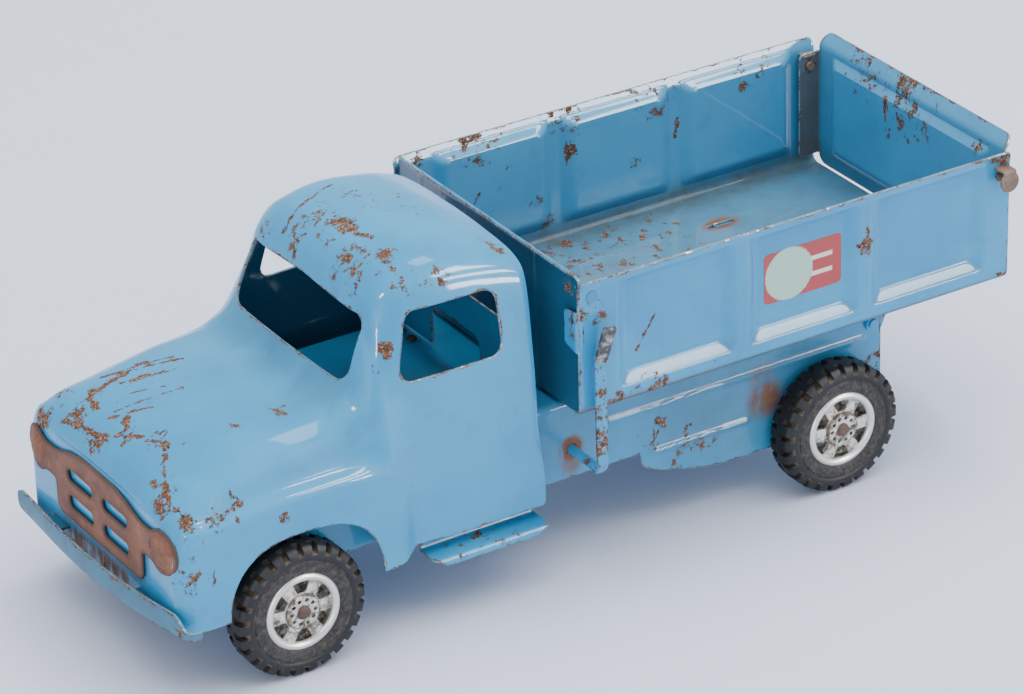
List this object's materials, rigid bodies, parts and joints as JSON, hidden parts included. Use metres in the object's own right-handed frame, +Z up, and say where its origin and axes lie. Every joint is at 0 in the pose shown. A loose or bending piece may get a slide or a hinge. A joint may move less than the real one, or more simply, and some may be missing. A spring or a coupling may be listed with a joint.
{
  "type": "toy dump truck",
  "caption": "Pressed-steel toy dump truck with an open-window cab, a lever-raised tipping bed, a top-hinged tailgate and free-rolling rubber-tyred wheels.",
  "frame": {"origin": "on the ground under the middle of the truck's overall length and width", "axes": "+X towards the front bumper, +Y towards the truck's left side, where the dump lever is, +Z up"},
  "size_m": [0.3614, 0.138, 0.1379],
  "materials": {
    "blue_enamel": "worn gloss enamel over steel sheet, chipped to rust along its edges",
    "bare_steel": "bare steel, browned with rust",
    "plated": "dulled bright plating with dirt in the recesses",
    "rubber": "matt black rubber, dusty in the tread notches",
    "decal": "thin printed transfer, plain shapes with no lettering"
  },
  "bodies": {
    "truck": {"chassis_frame": "blue_enamel", "axle_bracket_front": "bare_steel", "axle_front": "bare_steel", "axle_rear": "bare_steel", "running_board_left": "blue_enamel", "running_board_right": "blue_enamel", "front_bumper": "blue_enamel", "bumper_brackets": "blue_enamel", "cab_shell": "blue_enamel", "cab_back_panel": "blue_enamel", "cab_rivets": "bare_steel", "grille_plate": "bare_steel", "bed_hinge_rod": "bare_steel"},
    "dump_bed": {"bed_tub": "blue_enamel", "bed_front_wall": "blue_enamel", "bed_corner_rivets": "blue_enamel", "bed_hinge_bracket": "blue_enamel", "lift_bracket": "blue_enamel", "decal_left": "decal", "decal_right": "decal"},
    "tailgate": {"tailgate_panel": "blue_enamel", "tailgate_ear_left": "bare_steel", "tailgate_ear_right": "bare_steel"},
    "dump_lever": {"dump_lever": "blue_enamel", "lift_crank": "bare_steel", "crank_pin": "bare_steel", "lever_clip": "bare_steel"},
    "wheel_front_left_body": {"tyre_front_left": "rubber", "wheel_front_left": "plated"},
    "wheel_front_right_body": {"tyre_front_right": "rubber", "wheel_front_right": "plated"},
    "wheel_rear_left_body": {"tyre_rear_left": "rubber", "wheel_rear_left": "plated"},
    "wheel_rear_right_body": {"tyre_rear_right": "rubber", "wheel_rear_right": "plated"}
  },
  "joints": [
    {"name": "bed_tilt", "type": "hinge", "parent": "truck", "child": "dump_bed", "pos_m": [-0.1245, 0, 0.0575], "axis": [0, -1, 0], "range_deg": [0, 35]},
    {"name": "tailgate_swing", "type": "hinge", "parent": "dump_bed", "child": "tailgate", "pos_m": [-0.1705, 0, 0.111], "axis": [0, 1, 0], "range_deg": [0, 60]},
    {"name": "lever_swing", "type": "hinge", "parent": "truck", "child": "dump_lever", "pos_m": [0.0075, 0, 0.0454], "axis": [0, 1, 0], "range_deg": [0, 49]},
    {"name": "wheel_front_left_spin", "type": "hinge", "parent": "truck", "child": "wheel_front_left_body", "pos_m": [0.128, 0.054, 0.0254], "axis": [0, 1, 0], "continuous": true},
    {"name": "wheel_front_right_spin", "type": "hinge", "parent": "truck", "child": "wheel_front_right_body", "pos_m": [0.128, -0.054, 0.0254], "axis": [0, 1, 0], "continuous": true},
    {"name": "wheel_rear_left_spin", "type": "hinge", "parent": "truck", "child": "wheel_rear_left_body", "pos_m": [-0.102, 0.054, 0.0254], "axis": [0, 1, 0], "continuous": true},
    {"name": "wheel_rear_right_spin", "type": "hinge", "parent": "truck", "child": "wheel_rear_right_body", "pos_m": [-0.102, -0.054, 0.0254], "axis": [0, 1, 0], "continuous": true}
  ],
  "couplings": [
    {"joint": "lever_swing", "follows": "bed_tilt", "ratio": 1.4}
  ]
}
